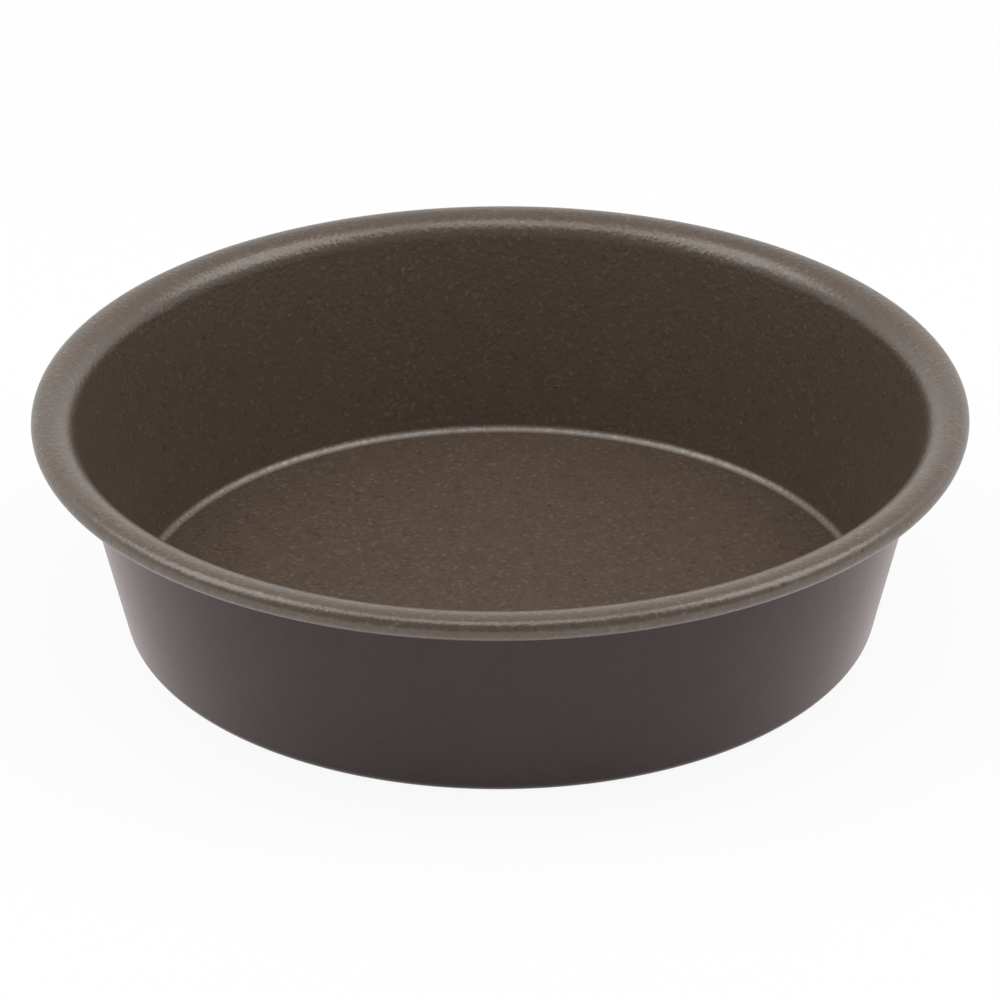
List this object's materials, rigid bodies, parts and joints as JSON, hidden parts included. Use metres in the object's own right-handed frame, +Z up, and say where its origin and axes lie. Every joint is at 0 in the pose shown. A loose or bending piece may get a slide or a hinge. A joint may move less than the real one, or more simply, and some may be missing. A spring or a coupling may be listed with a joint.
{
  "type": "flan pan",
  "caption": "Round flan pan with a flat base, sloping wall and wired rolled rim, with a speckled brown nonstick lining inside and smooth dark brown lacquer outside.",
  "frame": {"origin": "centre of the underside of the base, on the surface that the pan stands on", "axes": "+Z up along the pan's axis of revolution; the pan is round, so +X and +Y are any two square directions, with the butt of the rim wire at +X"},
  "size_m": [0.2, 0.2, 0.05],
  "materials": {
    "sheet_steel": "cold-rolled, seen only at the cut edge",
    "nonstick_coat": "satin, finely pebbled and speckled bronze-brown",
    "brown_lacquer": "smooth satin-gloss dark brown",
    "wire_steel": "drawn wire"
  },
  "bodies": {
    "root": {"pan_shell": "sheet_steel", "nonstick_lining": "nonstick_coat", "outer_lacquer": "brown_lacquer", "rim_wire": "wire_steel"}
  },
  "joints": []
}
